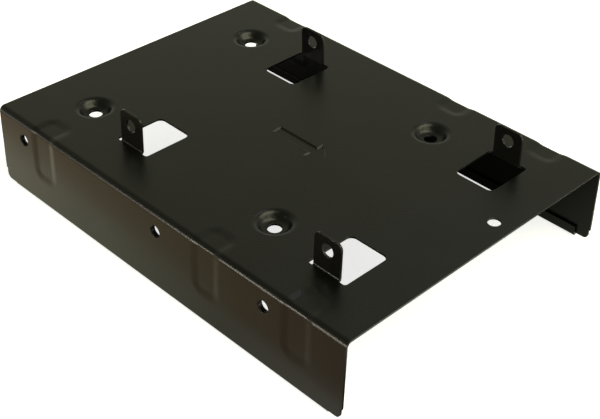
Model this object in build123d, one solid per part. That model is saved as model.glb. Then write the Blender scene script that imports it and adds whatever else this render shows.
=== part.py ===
from build123d import *
from math import atan, cos, hypot, radians, sin, tan
import os

# Drive bay adapter bracket: one steel sheet, stamped and folded.
# It fills a 3.5-inch bay and holds one 2.5-inch drive on top, between four bent-up tabs,
# and one below, under four dimpled holes. Sizes in mm.
# X runs across the bracket, Y along it towards the far end, Z up. The origin is on the
# ground under the middle, at the foot of the folded hems.

# Sheet and its two long bends
SHEET = 0.6
BEND_INSIDE = 1.25
WIDTH = 101.6           # over the flanges at their top, as wide as a 3.5-inch drive
LENGTH = 141.2
HEIGHT = 25.1           # top of the plate above the foot
FLANGE_SPLAY = 1.6      # degrees by which the flanges sprang back outwards

# Hem folded inwards along each flange
HEM_HEIGHT = 3.3
HEM_GAP = 0.15          # air left inside the fold
HEM_SHORT = 4.6         # each end of the flange stays unfolded over this length

# Lower end corners of the flanges
CORNER_STEP = 0.45      # the end edge is set back by this over its lowest part
CORNER_STEP_RISE = 3.3
CORNER_R = 1.6

# Holes in the flanges for the bay's 6-32 screws, measured from the far end. Each is drawn
# into a collar on the inside, deep enough to carry the thread.
BAY_HOLE_R = 1.75
BAY_HOLE_CHAMFER = 0.25
BAY_HOLE_DROP = 6.35    # below the top of the plate
BAY_COLLAR_REACH = 1.4  # from the outer face to the collar's rim
BAY_COLLAR_WALL = 0.45
BAY_FIRST = 11.6
BAY_LONG_PITCH = 60.0
BAY_SHORT_PITCH = 41.6

# Tabs for the upper drive, bent up out of the plate
DRIVE_PITCH = 76.6      # between the screw holes along a 2.5-inch drive
TAB_GAP = 70.4          # between the inner faces at the tabs' feet, round a drive 69.85 wide
TAB_LEAN = 1.5          # degrees by which each tab leans in towards the drive
TAB_MIDDLE_Y = -11.0
TAB_WIDTH = 9.2
TAB_RISE = 10.5
TAB_CORNER_R = 1.8
TAB_BEND_INSIDE = 0.4
TAB_HOLE_RISE = 6.6
TAB_HOLE_R = 1.95

# Window that each tab leaves in the plate, as far out as the foot of the tab's bend
WINDOW_REACH = 14.8     # from the inner face of the tab towards the middle
WINDOW_MIDDLE_Y = -11.3
WINDOW_WIDTH = 13.0
WINDOW_CORNER_R = 1.9
WINDOW_ROOT_R = 0.8     # at the two corners beside the tab's bend

# Dimpled holes for the lower drive
DIMPLE_PITCH_X = 61.72
DIMPLE_MIDDLE_Y = 12.7
DIMPLE_DEPTH = 2.15
DIMPLE_RIM_R = 6.1
DIMPLE_FLOOR_R = 2.95
DIMPLE_SHOULDER = 1.6   # how long the wall's S curve stays close to the plate
DIMPLE_FOOT = 1.0       # and to the floor
DIMPLE_THINNING = 0.33  # the underside of the wall stands this much further out
DIMPLE_HOLE_R = 2.0

# Gussets: shallow dents pressed into the long bends to stiffen them
GUSSET_PLACES = (49.4, -21.0, -54.2)
GUSSET_WIDTH = 10.4
GUSSET_ON_PLATE = 8.4   # from the corner where plate and flange would meet
GUSSET_ON_FLANGE = 16.6     # from the same corner
GUSSET_CORNER_R = 3.6
GUSSET_DEPTH = 0.3
GUSSET_WALL = 2.2       # run of the sloping wall, seen from straight on
GUSSET_EDGE_R = 7.0     # rounding where the wall leaves the outer face
GUSSET_FLOOR_R = 5.0

# Arrow pressed into the plate, pointing to the near end
ARROW_TAIL_Y = 6.3
ARROW_SHAFT = 14.8
ARROW_SHAFT_WIDTH = 3.4
ARROW_HEAD = 5.2
ARROW_HEAD_WIDTH = 8.4
ARROW_DEPTH = 0.42
ARROW_SLOPE = 40.0

# Plain hole in the plate near the near end
PLATE_HOLE_X = 10.4
PLATE_HOLE_INSET = 5.6
PLATE_HOLE_R = 1.85

# Worked out from the sizes above
SPLAY = radians(FLANGE_SPLAY)
BEND_R = BEND_INSIDE + SHEET
BEND_TURN = 90 - FLANGE_SPLAY
BEND_REACH = BEND_R * tan(radians(BEND_TURN / 2))   # from the corner that the bend rounds off
BEND_X = WIDTH / 2 - BEND_REACH
BEND_Z = HEIGHT - BEND_R
HEM_R = SHEET + HEM_GAP / 2
FLANGE_FOOT = HEM_R * (1 + sin(SPLAY))
FLANGE_LENGTH = (HEIGHT - FLANGE_FOOT) / cos(SPLAY)
# Outer face of the right flange: its x runs down from the corner, its y along the bracket
RIGHT_FLANGE = Plane(
    (WIDTH / 2, 0, HEIGHT), x_dir=(sin(SPLAY), 0, -cos(SPLAY)), z_dir=(cos(SPLAY), 0, sin(SPLAY))
)
TAB_INNER = TAB_GAP / 2
TAB_OUTER = TAB_INNER + SHEET
TAB_FOLD_BACK = tan(radians(TAB_LEAN))      # how far a tab leans in per unit of height
WINDOW_OUTER = TAB_OUTER + TAB_BEND_INSIDE
WINDOW_INNER = TAB_INNER - WINDOW_REACH
BAY_PLACES = (
    LENGTH / 2 - BAY_FIRST,
    LENGTH / 2 - BAY_FIRST - BAY_LONG_PITCH,
    LENGTH / 2 - BAY_FIRST - BAY_LONG_PITCH - BAY_SHORT_PITCH,
)
OVERSHOOT = 0.2         # how far a cutting form stands out of the sheet


def mirrored(part):
    """The part and its twin on the other side of the bracket."""
    return [part, part.mirror(Plane.YZ)]


def folded_section(points, radii, side):
    """Section through sheet that follows a line of folds; the line is one of its faces."""
    line = FilletPolyline(*points, radius=radii)
    return make_face(line.wire().offset_2d(SHEET, side=side, closed=True).edges())


def channel():
    """The plate with a flange bent down along each side."""
    top = WIDTH / 2
    foot = top + FLANGE_LENGTH * sin(SPLAY)
    line = [(-foot, FLANGE_FOOT), (-top, HEIGHT), (top, HEIGHT), (foot, FLANGE_FOOT)]
    section = folded_section(line, BEND_R, Side.RIGHT)
    return extrude(Plane.XZ * section, LENGTH / 2, both=True)


def flange_end_waste(end):
    """What is trimmed from the right flange at one end, +1 for the far one and -1 for the near one."""
    edge = LENGTH / 2
    middle = FLANGE_LENGTH - CORNER_STEP_RISE / 2
    kept = Pos(middle, 0) * Rectangle(CORNER_STEP_RISE, 2 * (edge - CORNER_STEP))
    kept = fillet(kept.vertices().sort_by(Axis.X)[-2:], CORNER_R)
    band = Pos(middle, end * edge) * Rectangle(CORNER_STEP_RISE, 4 * CORNER_R)
    return extrude(RIGHT_FLANGE * (band - kept), 2 * SHEET, both=True)


def hem():
    """The strip folded flat against the inside of the right flange."""
    fold = Circle(HEM_R) - Circle(HEM_GAP / 2)
    fold -= Pos(0, HEM_R) * Rectangle(2 * HEM_R, 2 * HEM_R)
    strip_height = HEM_HEIGHT - HEM_R
    strip = Pos(-HEM_R + SHEET / 2, strip_height / 2) * Rectangle(SHEET, strip_height)
    middle = RIGHT_FLANGE.from_local_coords((FLANGE_LENGTH, 0, -HEM_R))
    across = Plane(middle, x_dir=RIGHT_FLANGE.z_dir, z_dir=(0, -1, 0))
    return extrude(across * (fold + strip), LENGTH / 2 - HEM_SHORT, both=True)


def window(y):
    """The opening beside the right tab at y, as a cutter through the plate."""
    middle = (WINDOW_OUTER + WINDOW_INNER) / 2
    outline = Pos(middle, y) * Rectangle(WINDOW_OUTER - WINDOW_INNER, WINDOW_WIDTH)
    outline = fillet(outline.vertices().sort_by(Axis.X)[:2], WINDOW_CORNER_R)
    outline = fillet(outline.vertices().sort_by(Axis.X)[-2:], WINDOW_ROOT_R)
    return extrude(Pos(0, 0, HEIGHT) * outline, 2 * SHEET, both=True)


def tab(y):
    """The right tab at y, with its bend into the plate and its hole for a level screw."""
    tip = (TAB_OUTER - TAB_RISE * TAB_FOLD_BACK, HEIGHT + TAB_RISE)
    line = [(WINDOW_OUTER + SHEET, HEIGHT), (TAB_OUTER, HEIGHT), tip]
    section = Plane.XZ * folded_section(line, TAB_BEND_INSIDE, Side.LEFT)
    blade = Pos(0, y, 0) * extrude(section, TAB_WIDTH / 2, both=True)
    top_corners = blade.faces().sort_by(Axis.Z)[-1].edges().sort_by(SortBy.LENGTH)[:2]
    blade = fillet(top_corners, TAB_CORNER_R)
    middle = (TAB_INNER - TAB_HOLE_RISE * TAB_FOLD_BACK, y, HEIGHT + TAB_HOLE_RISE)
    hole = Pos(*middle) * Rot(0, 90, 0) * Cylinder(TAB_HOLE_R, 4 * SHEET)
    return blade - hole


def dimple(x, y):
    """A round dimple in the plate with its screw hole, out to a little past its rim."""
    floor = HEIGHT - DIMPLE_DEPTH
    end = DIMPLE_RIM_R + DIMPLE_THINNING
    wall = Spline(
        (DIMPLE_RIM_R, HEIGHT),
        (DIMPLE_FLOOR_R, floor),
        tangents=[(-1, 0), (-1, 0)],
        tangent_scalars=[DIMPLE_SHOULDER, DIMPLE_FOOT],
    )
    under = Pos(DIMPLE_THINNING, -SHEET) * wall
    bottom = [under @ 1, (DIMPLE_HOLE_R, floor - SHEET), (DIMPLE_HOLE_R, floor), wall @ 1]
    rim = [under @ 0, (end, HEIGHT), wall @ 0]
    section = make_face([wall.edge(), under.edge(), *Polyline(*bottom).edges(), *Polyline(*rim).edges()])
    return Pos(x, y, 0) * revolve(Plane.XZ * section, Axis.Z)


def past_bend(point):
    """How far a point lies past the right bend: inwards over the plate, and down the flange."""
    out, up = point.X - BEND_X, point.Z - BEND_Z
    return -out, out * sin(SPLAY) - up * cos(SPLAY)


def level_at(point):
    """Depth of a point under the outer face of the plate, of the right flange or of their bend."""
    over_plate, down_flange = past_bend(point)
    if over_plate >= 0:
        return HEIGHT - point.Z
    if down_flange >= 0:
        return -RIGHT_FLANGE.to_local_coords(point).Z
    return BEND_R - hypot(point.X - BEND_X, point.Z - BEND_Z)


def gusset_rim(part, y, level, grow):
    """The closed chain of edges round the right gusset at y, at one level."""
    tolerance = 0.001
    inner_end = WIDTH / 2 - GUSSET_ON_PLATE - grow - tolerance
    half_width = GUSSET_WIDTH / 2 + grow + tolerance

    def belongs(edge):
        start, middle, end = edge @ 0, edge @ 0.5, edge @ 1
        if any(abs(level_at(point) - level) > tolerance for point in (start, middle, end)):
            return False
        if any(point.X < inner_end or abs(point.Y - y) > half_width for point in (start, middle, end)):
            return False
        seam = any(abs(distance) < tolerance for distance in past_bend(middle))
        return not (seam and abs(middle.Y - y) < tolerance)

    return [edge for edge in part.edges() if belongs(edge)]


def gusset_flat(face, reach, levels, insets):
    """The part of a gusset on one flat face: a tongue with round corners and sloping walls."""
    ends = []
    for level, inset in zip(levels, insets):
        length = reach - inset
        outline = Pos(length / 2, 0) * Rectangle(length, GUSSET_WIDTH - 2 * inset)
        outline = fillet(outline.vertices().sort_by(Axis.X)[-2:], GUSSET_CORNER_R - inset)
        ends.append(face.offset(-level) * outline)
    return loft(ends, ruled=True)


def gusset_bend(y, levels, insets):
    """The part of a gusset that runs round the bend."""
    widths = [GUSSET_WIDTH / 2 - inset for inset in insets]
    (top, bottom), (wide, narrow) = levels, widths
    corners = [(wide, -top), (narrow, -bottom), (-narrow, -bottom), (-wide, -top)]
    section = make_face(Polyline(*corners, close=True))
    where_plate_ends = Plane((BEND_X, y, HEIGHT), x_dir=(0, 1, 0), z_dir=(1, 0, 0))
    return revolve(where_plate_ends * section, Axis((BEND_X, y, BEND_Z), (0, 1, 0)), BEND_TURN)


def gusset_form(y, top, bottom, grow):
    """The right gusset at y as a solid between two levels, its outline grown by grow."""
    plate = Plane((BEND_X, y, HEIGHT), x_dir=(-1, 0, 0), z_dir=(0, 0, 1))
    start = RIGHT_FLANGE.from_local_coords((BEND_REACH, y, 0))
    flange = Plane(start, x_dir=RIGHT_FLANGE.x_dir, z_dir=RIGHT_FLANGE.z_dir)
    levels = (top, bottom)
    insets = [(level - max(top, 0)) * GUSSET_WALL / GUSSET_DEPTH - grow for level in levels]
    return (
        gusset_flat(plate, GUSSET_ON_PLATE - BEND_REACH, levels, insets)
        + gusset_bend(y, levels, insets)
        + gusset_flat(flange, GUSSET_ON_FLANGE - BEND_REACH, levels, insets)
    )


def add_gusset(sheet, y):
    """The sheet with the right gusset at y pressed in: a dent outside, proud inside."""
    grow = SHEET * tan(atan(GUSSET_DEPTH / GUSSET_WALL) / 2)
    raised = gusset_form(y, SHEET, SHEET + GUSSET_DEPTH, grow)
    dent = gusset_form(y, -OVERSHOOT, GUSSET_DEPTH, 0)
    dent = fillet(gusset_rim(dent, y, GUSSET_DEPTH, 0), GUSSET_FLOOR_R)
    sheet = sheet + raised - dent
    return fillet(gusset_rim(sheet, y, 0, 0), GUSSET_EDGE_R)


def arrow_outline():
    """A block arrow that points to the near end."""
    neck = ARROW_TAIL_Y - ARROW_SHAFT
    tip = neck - ARROW_HEAD
    right = [
        (ARROW_SHAFT_WIDTH / 2, ARROW_TAIL_Y),
        (ARROW_SHAFT_WIDTH / 2, neck),
        (ARROW_HEAD_WIDTH / 2, neck),
        (0, tip),
    ]
    left = [(-x, y) for x, y in right[-2::-1]]
    return make_face(Polyline(*right, *left, close=True))


def arrow_form(top, bottom, grow):
    """The arrow as a solid between two levels under the top of the plate, grown by grow."""
    ends = []
    for level in (top, bottom):
        inset = (level - max(top, 0)) / tan(radians(ARROW_SLOPE)) - grow
        outline = offset(arrow_outline(), -inset, kind=Kind.INTERSECTION)
        ends.append(Pos(0, 0, HEIGHT - level) * outline)
    return loft(ends, ruled=True)


def add_arrow(sheet):
    """The sheet with the arrow pressed into the plate, proud underneath."""
    grow = SHEET * tan(radians(ARROW_SLOPE) / 2)
    raised = arrow_form(SHEET, SHEET + ARROW_DEPTH, grow)
    return sheet + raised - arrow_form(-OVERSHOOT, ARROW_DEPTH, 0)


def add_bay_holes(sheet):
    """The sheet with the bay screw holes drawn into collars on the inside of both flanges."""
    level = HEIGHT - BAY_HOLE_DROP
    outer_face = WIDTH / 2 + BAY_HOLE_DROP * tan(SPLAY)
    length = BAY_COLLAR_REACH - SHEET / 2
    middle = outer_face - BAY_COLLAR_REACH + length / 2
    for y in BAY_PLACES:
        across = Pos(0, y, level) * Rot(0, 90, 0)
        sheet += mirrored(across * Pos(0, 0, middle) * Cylinder(BAY_HOLE_R + BAY_COLLAR_WALL, length))
        sheet -= across * Cylinder(BAY_HOLE_R, 2 * WIDTH)

    def at_outer_face(edge):
        place = edge.bounding_box().center()
        return abs(abs(place.X) - outer_face) < SHEET / 2 and abs(place.Z - level) < SHEET

    rims = [edge for edge in sheet.edges() if edge.is_closed and at_outer_face(edge)]
    return chamfer(rims, BAY_HOLE_CHAMFER)


def plate_hole():
    """What the plain hole near the near end takes out of the plate."""
    return Pos(PLATE_HOLE_X, PLATE_HOLE_INSET - LENGTH / 2, HEIGHT) * Cylinder(PLATE_HOLE_R, 4 * SHEET)


def bracket():
    """The whole bracket as one folded sheet."""
    sheet = channel()
    for end in (1, -1):
        sheet -= mirrored(flange_end_waste(end))
    for y in GUSSET_PLACES:
        sheet = add_gusset(sheet, y)
        sheet = add_gusset(sheet.mirror(Plane.YZ), y).mirror(Plane.YZ)
    sheet += mirrored(hem())
    for along in (DRIVE_PITCH / 2, -DRIVE_PITCH / 2):
        sheet -= mirrored(window(WINDOW_MIDDLE_Y + along))
        sheet += mirrored(tab(TAB_MIDDLE_Y + along))
        for x in (DIMPLE_PITCH_X / 2, -DIMPLE_PITCH_X / 2):
            y = DIMPLE_MIDDLE_Y + along
            sheet -= Pos(x, y, HEIGHT) * Cylinder(DIMPLE_RIM_R + DIMPLE_THINNING, 4 * SHEET)
            sheet += dimple(x, y)
    sheet = add_arrow(sheet)
    sheet -= plate_hole()
    return add_bay_holes(sheet)


os.makedirs("parts", exist_ok=True)
export_step(bracket(), "parts/bracket.step")
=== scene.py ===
import math

import bpy
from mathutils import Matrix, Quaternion, Vector


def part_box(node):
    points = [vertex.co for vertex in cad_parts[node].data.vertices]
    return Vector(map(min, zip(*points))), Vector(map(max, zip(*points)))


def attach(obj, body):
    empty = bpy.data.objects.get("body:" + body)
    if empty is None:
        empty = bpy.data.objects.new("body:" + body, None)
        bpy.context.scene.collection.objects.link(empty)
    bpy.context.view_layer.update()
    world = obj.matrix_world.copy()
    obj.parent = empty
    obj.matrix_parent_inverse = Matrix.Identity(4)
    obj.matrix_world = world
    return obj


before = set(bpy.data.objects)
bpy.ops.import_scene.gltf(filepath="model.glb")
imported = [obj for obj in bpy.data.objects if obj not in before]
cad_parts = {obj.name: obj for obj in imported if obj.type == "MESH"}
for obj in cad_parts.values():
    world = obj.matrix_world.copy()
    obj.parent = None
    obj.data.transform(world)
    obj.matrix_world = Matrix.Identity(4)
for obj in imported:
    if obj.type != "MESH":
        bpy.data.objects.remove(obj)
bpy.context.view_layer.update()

# Drive bay adapter bracket: the folded sheet with its black coating, on a pale studio floor.
# Lengths in metres, angles in degrees. X runs across the bracket, Y along it to the far end, Z up.

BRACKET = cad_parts["bracket"]
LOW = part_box("bracket")[0]

# Camera, at the photograph's place
CAMERA_PLACE = (-0.20435, -0.21026, 0.21637)
CAMERA_TARGET = (-0.01709, -0.03139, 0.0251)
CAMERA_ROLL = 1.69
CAMERA_LENS = 73.67         # in millimetres
CAMERA_SHIFT_X = -0.0468
CAMERA_CLIP_START = 0.01

# Coating
COAT_COLOUR = (0.002, 0.002, 0.0018, 1)
COAT_SPECULAR = 0.4
COAT_ROUGHNESS = (0.27, 0.35)   # from the darkest to the lightest cloud
CLOUD_SIZE = 0.02
CLOUD_DETAIL = 4.0
CLOUD_RANGE = (0.3, 0.7)        # of the noise, from the darkest to the lightest cloud
CLOUD_TONES = (0.82, 1.18)      # as shares of the coat's colour
GRAIN_SIZE = 0.0005
GRAIN_DETAIL = 3.0
GRAIN_HEIGHT = 0.00006
GRAIN_STRENGTH = 0.6
EDGE_ROUNDING = 0.00015
EDGE_SAMPLES = 6
# The coat is lighter on its rounded edges: fully where the cosine of the rounding's turn against
# the face is below the first value, and not at all above the second
WORN_COLOUR = (0.05, 0.048, 0.04, 1)
WORN_TURN = (0.6, 0.9)

# Screw thread in the collars of the bay holes, 32 turns to the inch
BAY_HOLES_Y = (0.059, -0.001, -0.0426)
BAY_HOLES_Z = 0.01875
THREAD_PITCH = 0.000794
THREAD_TURNS = 0.95
THREAD_STEPS = 60
THREAD_START = 0.0498       # from the middle of the bracket, at the collar's rim
# Its section: along the bore and out from the bore's middle
THREAD_PROFILE = ((-0.0002, 0.00176), (-0.00005, 0.0016), (0.00005, 0.0016), (0.0002, 0.00176))

# Studio floor
FLOOR_SIZE = 6.0
FLOOR_DROP = 0.0001         # under the bracket's feet
FLOOR_COLOUR = (0.84, 0.84, 0.82, 1)
FLOOR_ROUGHNESS = 0.8
FLOOR_GLOW = 0.76           # so that the floor reads as white

# Room: its brightness by height over the horizon, from 0 to 1 straight up
ROOM_LEVELS = [(0.0, 0.8), (0.2, 0.52), (0.4, 0.46), (0.5, 0.39), (0.57, 0.31), (0.64, 0.43), (0.8, 0.24)]
ROOM_TINT = (1.0, 1.02, 0.71, 1)
ROOM_TINT_FROM = 0.4        # height over the horizon from which the tint is full
ROOM_SHADE = 0.5            # level of the room's left side against its right side
ROOM_SHADE_REACH = (-0.6, 0.3)      # from the left, where the shade is full, to where it ends

# Soft lamps that face the bracket, by width and height
LAMPS = {
    "overhead": {
        "place": (0.1, -0.6, 0.95),
        "size": (0.9, 0.9),
        "power": 8.5,
        "colour": (0.98, 1.0, 0.7),
    },
    "side": {
        "place": (0.6, -0.62, 0.6),
        "size": (0.42, 0.42),
        "power": 1.5,
        "colour": (1.0, 0.98, 0.75),
    },
    "strip": {
        "place": (-1.0, 0.43, 0.1),
        "size": (0.4, 0.15),
        "power": 4.2,
        "colour": (1.0, 0.93, 0.76),
    },
    "window": {
        "place": (0.6, 0.22, 0.95),
        "size": (0.22, 0.22),
        "power": 0.36,
        "colour": (0.85, 0.92, 1.0),
    },
}

# Glowing cards on the floor that only reflections see, each with its colours from the near to the far
# end.
# They paint reflections and shade: a brown one that paints the reflection of a brown table top on the
# left flange, darker towards the near end, and the painted shade of the floor at its edge beside that
# flange, a dark one that paints the shade under the plate, and two dark ones that paint shade into the
# reflections in front of the near end, one at its left corner and one at its right
CARDS = {
    # Paints a brown reflection, as of a brown table top, on the left flange, with painted shade darker
    # towards the near end
    "warm_reflection_card": {
        "size": (0.4, 0.3),
        "place": (-0.2603, 0.0),
        "turn": 3.0,
        "lift": 0.0004,
        "colours": [
            (0.3, 0.22, 0.13),
            (0.36, 0.26, 0.16),
            (0.5, 0.38, 0.21),
            (0.56, 0.4, 0.22),
            (0.6, 0.44, 0.26),
        ],
    },
    # Paints the shaded floor beside the left flange's foot into its reflection: painted shade, lightest
    # at the far end
    "shade_card": {
        "size": (0.02, 0.2),
        "place": (-0.0606, 0.025),
        "turn": 0.0,
        "lift": 0.0002,
        "colours": [
            (0.64, 0.6, 0.5),
            (0.46, 0.44, 0.32),
            (0.7, 0.69, 0.49),
            (1.0, 0.96, 0.68),
            (1.0, 0.9, 0.66),
        ],
    },
    # Paints the shade under the plate into the reflections inside the bracket, lighter at the near end
    # where it opens
    "under_shade_card": {
        "size": (0.1008, 0.15),
        "place": (0.0, -0.005),
        "turn": 0.0,
        "lift": 0.0002,
        "colours": [
            (0.5, 0.5, 0.4),
            (0.03, 0.03, 0.02),
            (0.02, 0.02, 0.02),
            (0.02, 0.02, 0.02),
            (0.02, 0.02, 0.02),
        ],
    },
    # Paints shade into the reflections at the near end's left corner
    "corner_shade_card": {
        "size": (0.03, 0.0165),
        "place": (-0.045, -0.0798),
        "turn": 0.0,
        "lift": 0.0003,
        "colours": [(0.05, 0.05, 0.04), (0.03, 0.03, 0.02)],
    },
    # Paints shade into the reflections in front of the near end's right side
    "front_shade_card": {
        "size": (0.08, 0.04),
        "place": (0.084, -0.0985),
        "turn": 0.0,
        "lift": 0.0003,
        "colours": [(0.2, 0.2, 0.15), (0.2, 0.2, 0.15)],
    },
}

# Sockets of a colour mix: its factor and two colours, and its result
MIX_INPUTS = (0, 6, 7)
MIX_OUTPUT = 2


def add_node(tree, kind, inputs=None, **settings):
    """A new node with its settings and the values of its inputs."""
    node = tree.nodes.new(kind)
    for name, value in settings.items():
        setattr(node, name, value)
    for name, value in (inputs or {}).items():
        node.inputs[name].default_value = value
    return node


def grey(level):
    """The grey colour of a level."""
    return (level, level, level, 1)


def ramp(tree, factor, stops):
    """A colour ramp over a factor; stops are (position, colour)."""
    node = tree.nodes.new("ShaderNodeValToRGB")
    elements = node.color_ramp.elements
    while len(elements) < len(stops):
        elements.new(0.5)
    for element, (position, colour) in zip(elements, stops):
        element.position = position
        element.color = colour
    tree.links.new(factor, node.inputs["Fac"])
    return node.outputs["Color"]


def grey_ramp(tree, factor, reach, levels):
    """Grey that goes from one level to the other while the factor crosses its reach."""
    return ramp(tree, factor, [(position, grey(level)) for position, level in zip(reach, levels)])


def mix(tree, blend, factor, first, second):
    """Two colours put together; the factor and each colour is a value or another node's output."""
    node = add_node(tree, "ShaderNodeMix", data_type="RGBA", blend_type=blend)
    for place, value in zip(MIX_INPUTS, (factor, first, second)):
        if isinstance(value, bpy.types.NodeSocket):
            tree.links.new(value, node.inputs[place])
        else:
            node.inputs[place].default_value = value
    return node.outputs[MIX_OUTPUT]


def noise(tree, place, size, detail):
    """Noise with spots of about the given size."""
    node = add_node(tree, "ShaderNodeTexNoise", {"Scale": 1 / size, "Detail": detail})
    tree.links.new(place, node.inputs["Vector"])
    return node.outputs["Fac"]


def new_material(name):
    """A new material with its nodes and its shader."""
    material = bpy.data.materials.new(name)
    material.use_nodes = True
    tree = material.node_tree
    return material, tree, tree.nodes["Principled BSDF"]


def edge_wear(tree, rounded):
    """1 where the rounding turns far away from the face, and 0 on the face itself."""
    face = add_node(tree, "ShaderNodeNewGeometry").outputs["Normal"]
    turn = add_node(tree, "ShaderNodeVectorMath", operation="DOT_PRODUCT")
    tree.links.new(rounded, turn.inputs[0])
    tree.links.new(face, turn.inputs[1])
    return grey_ramp(tree, turn.outputs["Value"], WORN_TURN, (1, 0))


def coated_steel():
    """Black baked coating: satin, finely grained, a little lighter along its edges."""
    material, tree, shader = new_material("coated_steel")
    link = tree.links.new
    shader.inputs["Specular IOR Level"].default_value = COAT_SPECULAR

    place = add_node(tree, "ShaderNodeTexCoord").outputs["Object"]
    clouds = noise(tree, place, CLOUD_SIZE, CLOUD_DETAIL)
    grain = noise(tree, place, GRAIN_SIZE, GRAIN_DETAIL)
    bevel = add_node(tree, "ShaderNodeBevel", {"Radius": EDGE_ROUNDING}, samples=EDGE_SAMPLES)
    rounded = bevel.outputs["Normal"]

    tones = grey_ramp(tree, clouds, CLOUD_RANGE, CLOUD_TONES)
    tinted = mix(tree, "MULTIPLY", 1.0, COAT_COLOUR, tones)
    colour = mix(tree, "MIX", edge_wear(tree, rounded), tinted, WORN_COLOUR)
    link(colour, shader.inputs["Base Color"])
    link(grey_ramp(tree, clouds, CLOUD_RANGE, COAT_ROUGHNESS), shader.inputs["Roughness"])

    bump = add_node(tree, "ShaderNodeBump", {"Strength": GRAIN_STRENGTH, "Distance": GRAIN_HEIGHT})
    link(grain, bump.inputs["Height"])
    link(rounded, bump.inputs["Normal"])
    link(bump.outputs["Normal"], shader.inputs["Normal"])
    return material


def thread_corners(side, y):
    """Corners of the thread's sections, one section after the other along the helix."""
    corners = []
    for step in range(THREAD_STEPS + 1):
        turned = THREAD_TURNS * step / THREAD_STEPS
        angle = side * 2 * math.pi * turned
        for along, out in THREAD_PROFILE:
            across = side * (THREAD_START + THREAD_PITCH * turned + along)
            corners.append((across, y + out * math.cos(angle), BAY_HOLES_Z + out * math.sin(angle)))
    return corners


def thread(side, y, coat):
    """The right-handed thread in the bay hole at y, on the side 1 or -1 of the bracket."""
    corners = thread_corners(side, y)
    width = len(THREAD_PROFILE)
    faces = [tuple(reversed(range(width))), tuple(range(len(corners) - width, len(corners)))]
    for start in range(0, len(corners) - width, width):
        for place in range(width):
            beside = (place + 1) % width
            faces.append((start + place, start + beside, start + width + beside, start + width + place))
    name = f"thread_{'right' if side > 0 else 'left'}_{round(y * 1000)}"
    mesh = bpy.data.meshes.new(name)
    mesh.from_pydata(corners, [], faces)
    mesh.materials.append(coat)
    piece = bpy.data.objects.new(name, mesh)
    bpy.context.collection.objects.link(piece)
    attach(piece, "root")


def seen_directly(tree):
    """1 for what the camera sees, also in a mirror or through glass, and 0 for light that falls on."""
    path = add_node(tree, "ShaderNodeLightPath")
    total = path.outputs["Is Camera Ray"]
    for kind in ("Is Glossy Ray", "Is Transmission Ray"):
        either = add_node(tree, "ShaderNodeMath", operation="MAXIMUM")
        tree.links.new(total, either.inputs[0])
        tree.links.new(path.outputs[kind], either.inputs[1])
        total = either.outputs["Value"]
    return total


def floor():
    """A pale floor that shows the object's shadow and is white to the camera."""
    bpy.ops.mesh.primitive_plane_add(size=FLOOR_SIZE, location=(0, 0, LOW[2] - FLOOR_DROP))
    plane = bpy.context.object
    plane.name = "floor"
    material, tree, shader = new_material("floor")
    shader.inputs["Base Color"].default_value = FLOOR_COLOUR
    shader.inputs["Roughness"].default_value = FLOOR_ROUGHNESS
    shader.inputs["Emission Color"].default_value = grey(1)
    glow = add_node(tree, "ShaderNodeMath", operation="MULTIPLY")
    glow.inputs[1].default_value = FLOOR_GLOW
    tree.links.new(seen_directly(tree), glow.inputs[0])
    tree.links.new(glow.outputs["Value"], shader.inputs["Emission Strength"])
    plane.data.materials.append(material)


def card_material(name, colours):
    """Glows with its colours, spread evenly along the card's length, and mirrors nothing: painted
    reflection and shade.
    """
    material, tree, shader = new_material(name)
    along = add_node(tree, "ShaderNodeSeparateXYZ")
    tree.links.new(add_node(tree, "ShaderNodeTexCoord").outputs["Generated"], along.inputs["Vector"])
    stops = [(step / (len(colours) - 1), (*colour, 1)) for step, colour in enumerate(colours)]
    tree.links.new(ramp(tree, along.outputs["Y"], stops), shader.inputs["Emission Color"])
    shader.inputs["Emission Strength"].default_value = 1.0
    shader.inputs["Base Color"].default_value = grey(0)
    shader.inputs["Specular IOR Level"].default_value = 0.0
    return material


def card(name, size, place, turn, lift, colours):
    """A flat glowing card on the floor that the camera doesn't see, which paints reflections and shade
    into the bracket.
    """
    bpy.ops.mesh.primitive_plane_add(size=1.0, location=(*place, LOW[2] + lift))
    plane = bpy.context.object
    plane.name = name
    plane.scale = (*size, 1)
    plane.rotation_euler.z = math.radians(turn)
    plane.visible_camera = False
    plane.visible_shadow = False
    plane.visible_diffuse = False
    plane.data.materials.append(card_material(name, colours))


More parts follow.
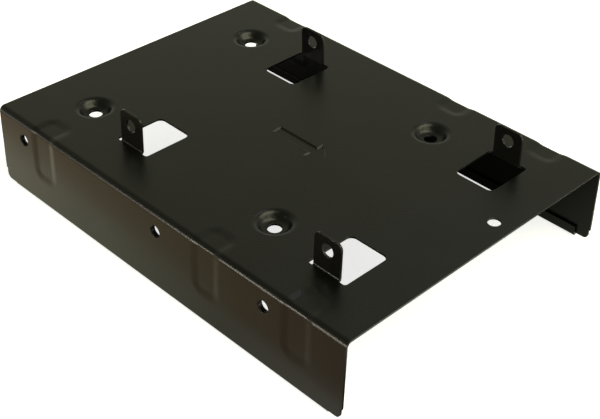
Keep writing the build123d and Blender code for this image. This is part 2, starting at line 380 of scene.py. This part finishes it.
def lamp(name, place, size, power, colour):
    """A soft lamp that faces the object."""
    data = bpy.data.lights.new(name, "AREA")
    data.shape = "RECTANGLE"
    data.size, data.size_y = size
    data.energy = power
    data.color = colour
    holder = bpy.data.objects.new(name, data)
    holder.location = place
    holder.rotation_euler = (-Vector(place)).to_track_quat("-Z", "Y").to_euler()
    bpy.context.collection.objects.link(holder)


def studio_world():
    """Light from all round: a pale horizon under a dimmer room, dimmest on the left."""
    world = bpy.data.worlds.new("studio")
    world.use_nodes = True
    bpy.context.scene.world = world
    tree = world.node_tree
    link = tree.links.new
    background = tree.nodes["Background"]
    way = add_node(tree, "ShaderNodeSeparateXYZ")
    link(add_node(tree, "ShaderNodeTexCoord").outputs["Generated"], way.inputs["Vector"])
    level = ramp(tree, way.outputs["Z"], [(up, grey(value)) for up, value in ROOM_LEVELS])
    tint = ramp(tree, way.outputs["Z"], [(0.0, grey(1)), (ROOM_TINT_FROM, ROOM_TINT)])
    link(mix(tree, "MULTIPLY", 1.0, level, tint), background.inputs["Color"])

    left, right = ROOM_SHADE_REACH
    limits = {"From Min": left, "From Max": right, "To Min": ROOM_SHADE}
    shade = add_node(tree, "ShaderNodeMapRange", limits)
    link(way.outputs["X"], shade.inputs["Value"])
    link(shade.outputs["Result"], background.inputs["Strength"])


def camera():
    """The camera at the photograph's place."""
    data = bpy.data.cameras.new("camera")
    data.lens = CAMERA_LENS
    data.shift_x = CAMERA_SHIFT_X
    data.clip_start = CAMERA_CLIP_START
    holder = bpy.data.objects.new("camera", data)
    holder.location = CAMERA_PLACE
    holder.rotation_mode = "QUATERNION"
    looks = (Vector(CAMERA_TARGET) - Vector(CAMERA_PLACE)).to_track_quat("-Z", "Y")
    holder.rotation_quaternion = looks @ Quaternion((0, 0, 1), math.radians(CAMERA_ROLL))
    bpy.context.collection.objects.link(holder)
    bpy.context.scene.camera = holder


coat = coated_steel()
BRACKET.data.materials.clear()
BRACKET.data.materials.append(coat)
for side in (1, -1):
    for y in BAY_HOLES_Y:
        thread(side, y, coat)
floor()
for name, values in CARDS.items():
    card(name, **values)
studio_world()
for name, values in LAMPS.items():
    lamp(name, **values)
camera()
bpy.context.scene.view_settings.view_transform = "Standard"
